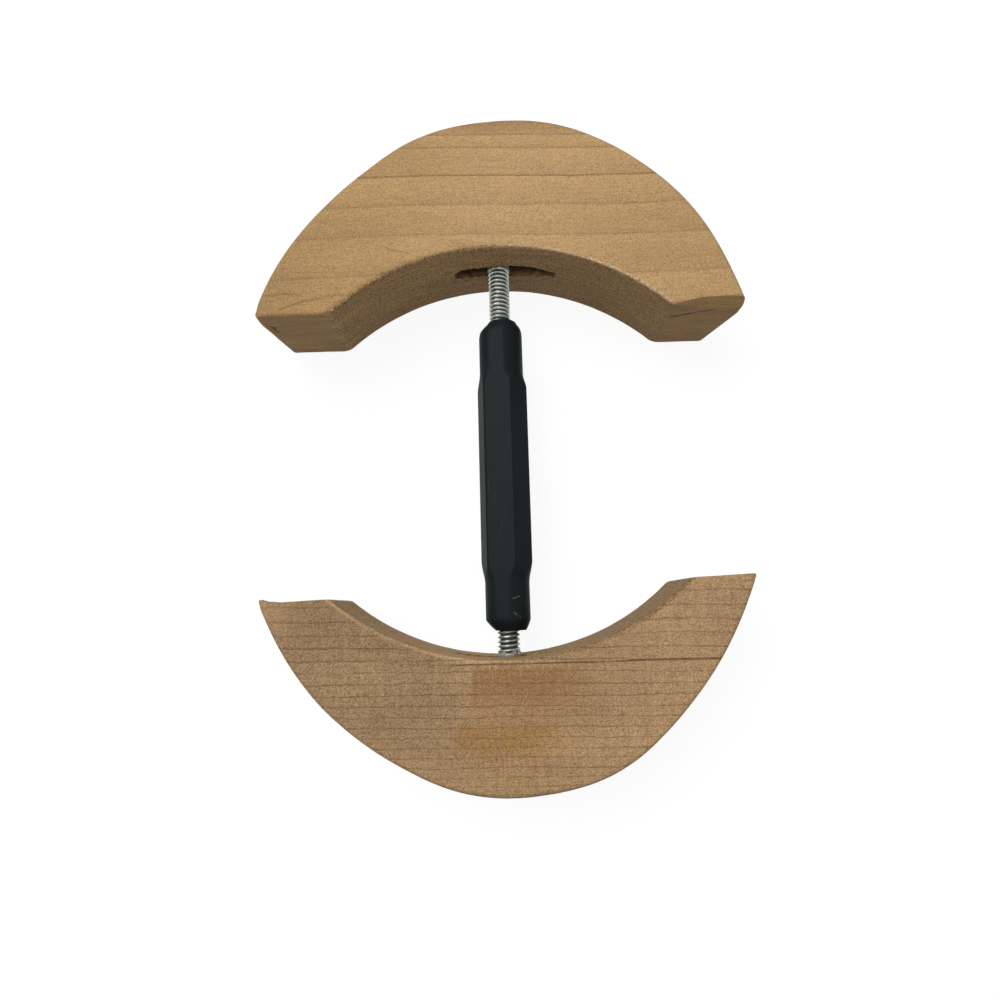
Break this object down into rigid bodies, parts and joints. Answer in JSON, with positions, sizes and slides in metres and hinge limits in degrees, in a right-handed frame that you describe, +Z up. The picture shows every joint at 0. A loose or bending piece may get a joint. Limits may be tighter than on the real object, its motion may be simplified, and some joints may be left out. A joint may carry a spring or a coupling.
{
  "type": "hat stretcher",
  "caption": "Hand-turned hat stretcher: two bevelled wooden crescents spread by a six-sided black sleeve on opposed threaded rods.",
  "frame": {"origin": "on the table, in the middle of the object's outline, below the rods' axis", "axes": "+X across the blocks, +Y along the rods towards the front block, +Z up through the blocks' thickness to their larger front faces"},
  "size_m": [0.14, 0.1911, 0.0286],
  "materials": {
    "front_wood": "pale sawn and sanded wood, bare",
    "rear_wood": "browner sawn and sanded wood, bare",
    "black_plastic": "black moulded plastic, dusty",
    "liner_steel": "bare threaded steel tube",
    "zinc_steel": "zinc-plated rolled thread",
    "pin_steel": "bare steel pin",
    "clear_glue": "hardened clear glue"
  },
  "bodies": {
    "liner": {"thread_liner": "liner_steel"},
    "sleeve": {"turnbuckle_sleeve": "black_plastic"},
    "front_half": {"front_block": "front_wood", "front_rod": "zinc_steel", "front_cross_pin": "pin_steel", "front_glue": "clear_glue"},
    "rear_half": {"rear_block": "rear_wood", "rear_rod": "zinc_steel", "rear_cross_pin": "pin_steel", "rear_glue": "clear_glue"}
  },
  "joints": [
    {"name": "front_slide", "type": "slide", "parent": "liner", "child": "front_half", "axis": [0, 1, 0], "range_m": [-0.00635, 0.01905]},
    {"name": "rear_slide", "type": "slide", "parent": "liner", "child": "rear_half", "axis": [0, -1, 0], "range_m": [-0.00635, 0.01905]},
    {"name": "sleeve_spin", "type": "hinge", "parent": "liner", "child": "sleeve", "pos_m": [0, -0.0081, 0.0143], "axis": [0, 1, 0], "range_deg": [-1801, 5401]}
  ],
  "couplings": [
    {"joint": "rear_slide", "follows": "front_slide", "ratio": 1},
    {"joint": "sleeve_spin", "follows": "front_slide", "rad_per_m": 4947.4}
  ]
}
